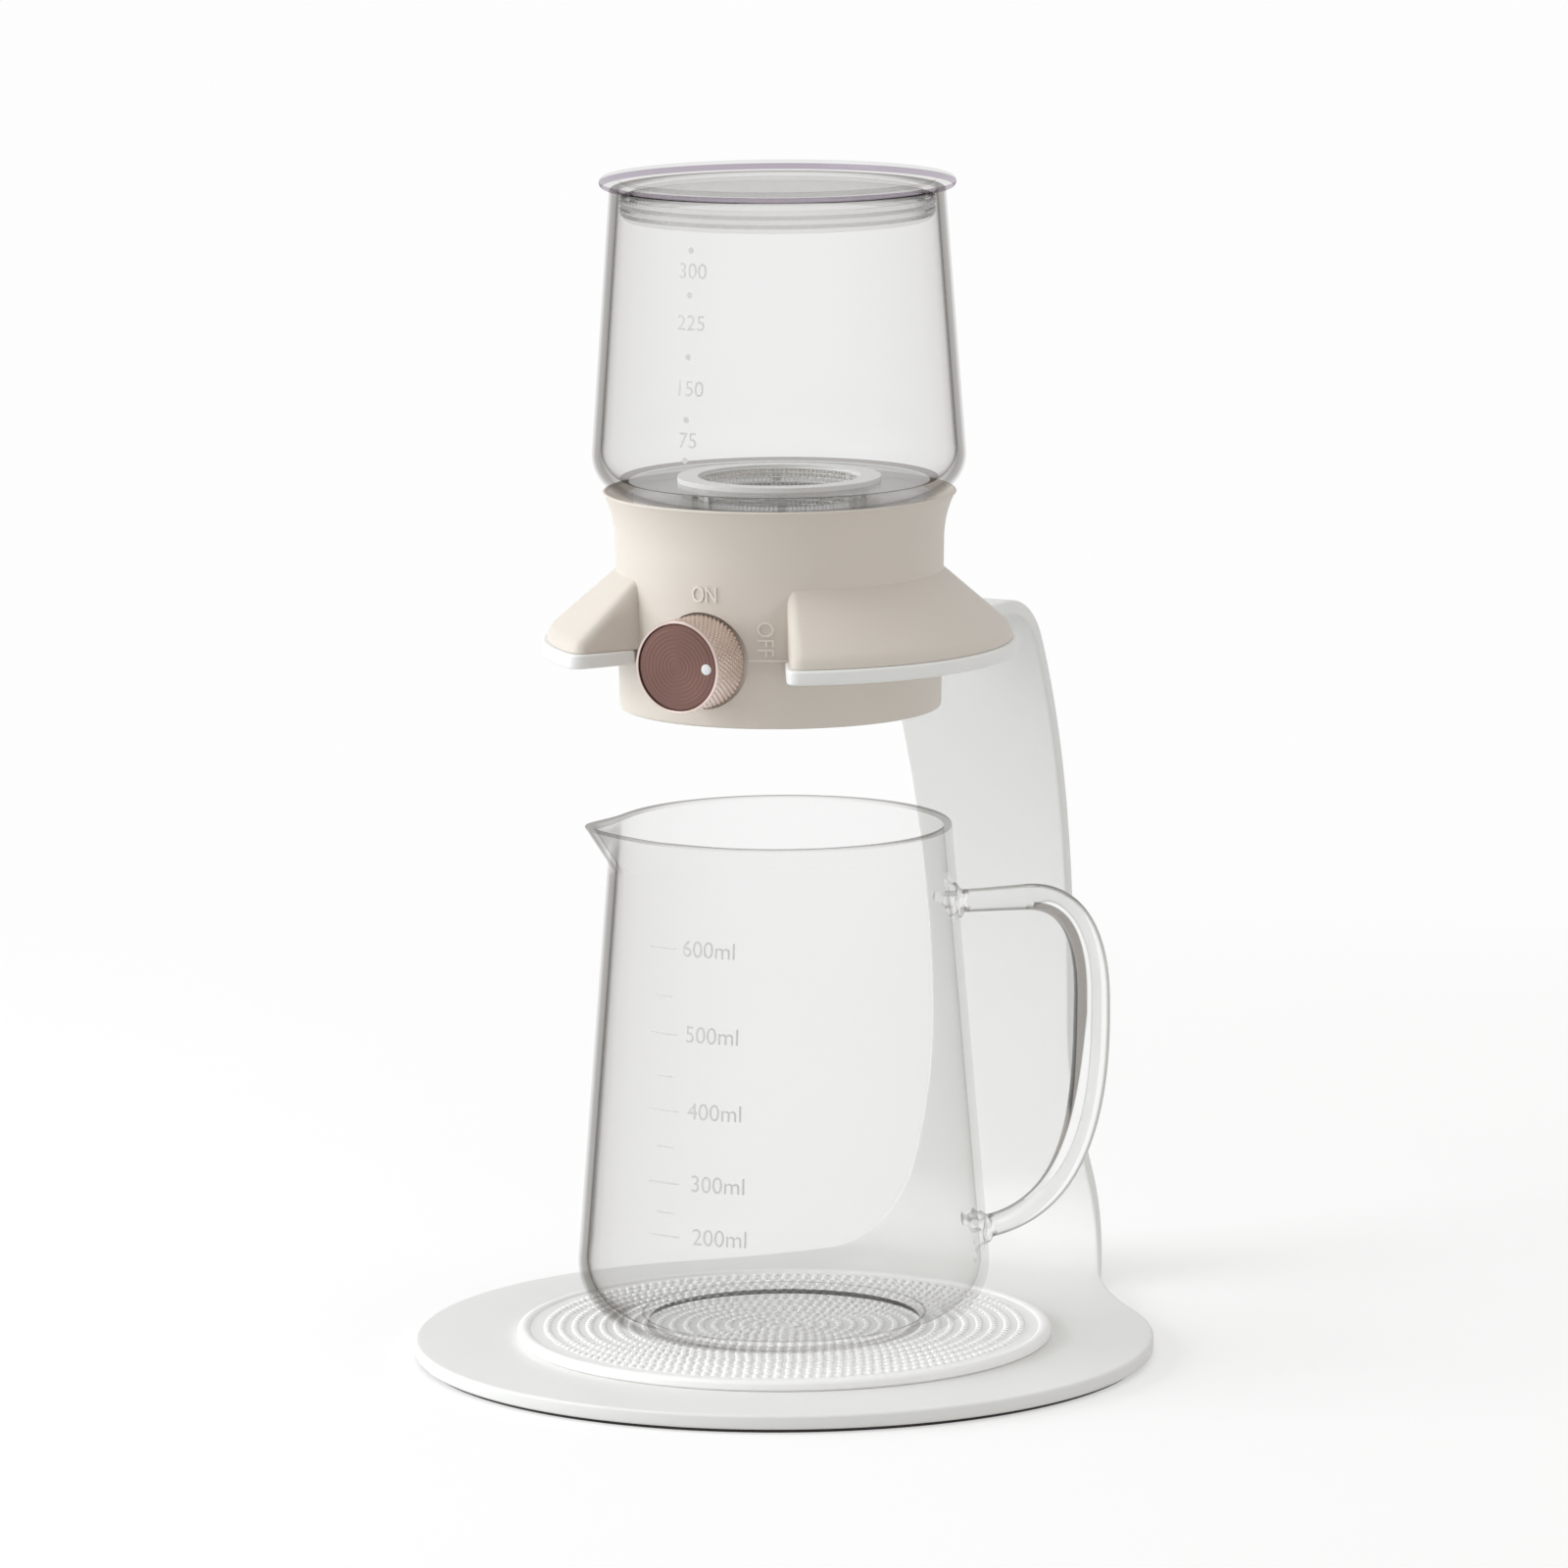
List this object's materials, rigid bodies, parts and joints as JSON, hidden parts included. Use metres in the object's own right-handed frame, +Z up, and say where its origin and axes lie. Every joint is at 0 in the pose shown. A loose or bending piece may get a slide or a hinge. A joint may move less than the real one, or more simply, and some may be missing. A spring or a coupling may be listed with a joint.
{
  "type": "tea maker",
  "caption": "Steep-and-release tea maker: a lidded glass tank with a floor filter and a turning tap, carried by a bent sheet stand above a glass jug on a silicone mat.",
  "frame": {"origin": "on the table, under the middle of the round base", "axes": "+Z up along the axis of jug, tap and tank; the knob faces -Y and the upright stands at +Y"},
  "size_m": [0.18, 0.2088, 0.2875],
  "materials": {
    "stand_paint": "fine matt white powder coat",
    "pad_rubber": "dark soft foam rubber",
    "mat_silicone": "white silicone with rings of small nubs",
    "jug_glass": "clear blown glass",
    "tank_glass": "clear pressed glass with a thick floor",
    "housing_plastic": "satin cream moulded plastic",
    "inner_plastic": "white food grade plastic",
    "seal_silicone": "pale translucent silicone",
    "o_ring_rubber": "black rubber",
    "steel": "plain stainless steel",
    "knob_metal": "rose anodised metal with a diamond knurl",
    "knob_face_metal": "brown anodised metal with fine turned rings",
    "dot_enamel": "white enamel",
    "filter_plastic": "pale food grade plastic",
    "lid_plastic": "clear plastic with a slight violet tint"
  },
  "bodies": {
    "stand": {"stand": "stand_paint", "foot_pad": "pad_rubber"},
    "mat": {"drip_mat": "mat_silicone"},
    "jug": {"jug_glass": "jug_glass", "jug_handle": "jug_glass"},
    "dripper": {"housing": "housing_plastic", "tank_gasket": "seal_silicone", "funnel": "inner_plastic", "funnel_seal": "seal_silicone", "valve_body": "inner_plastic", "inlet_seal": "o_ring_rubber", "valve_cap": "inner_plastic", "outlet_nozzle": "seal_silicone", "bottom_cover": "housing_plastic", "cover_screws": "steel", "stem_gland": "inner_plastic"},
    "valve": {"valve_stem": "steel", "stem_seals": "o_ring_rubber", "knob_body": "knob_metal", "knob_face": "knob_face_metal", "knob_dot": "dot_enamel", "knob_set_screw": "steel"},
    "tank": {"tank_glass": "tank_glass"},
    "filter": {"filter_frame": "filter_plastic", "filter_mesh": "steel"},
    "lid": {"lid_cover": "lid_plastic", "lid_seal": "seal_silicone"}
  },
  "joints": [
    {"name": "mat_lift", "type": "slide", "parent": "stand", "child": "mat", "axis": [0, 0, 1], "range_m": [0, 0.02]},
    {"name": "jug_slide", "type": "slide", "parent": "mat", "child": "jug", "axis": [0, -1, 0], "range_m": [0, 0.18]},
    {"name": "dripper_lift", "type": "slide", "parent": "stand", "child": "dripper", "axis": [0, 0, 1], "range_m": [0, 0.06]},
    {"name": "knob_turn", "type": "hinge", "parent": "dripper", "child": "valve", "pos_m": [0, -0.045, 0.1755], "axis": [0, -1, 0], "range_deg": [0, 90]},
    {"name": "tank_lift", "type": "slide", "parent": "dripper", "child": "tank", "axis": [0, 0, 1], "range_m": [0, 0.06]},
    {"name": "filter_lift", "type": "slide", "parent": "tank", "child": "filter", "axis": [0, 0, 1], "range_m": [0, 0.055]},
    {"name": "lid_lift", "type": "slide", "parent": "tank", "child": "lid", "axis": [0, 0, 1], "range_m": [0, 0.05]}
  ]
}
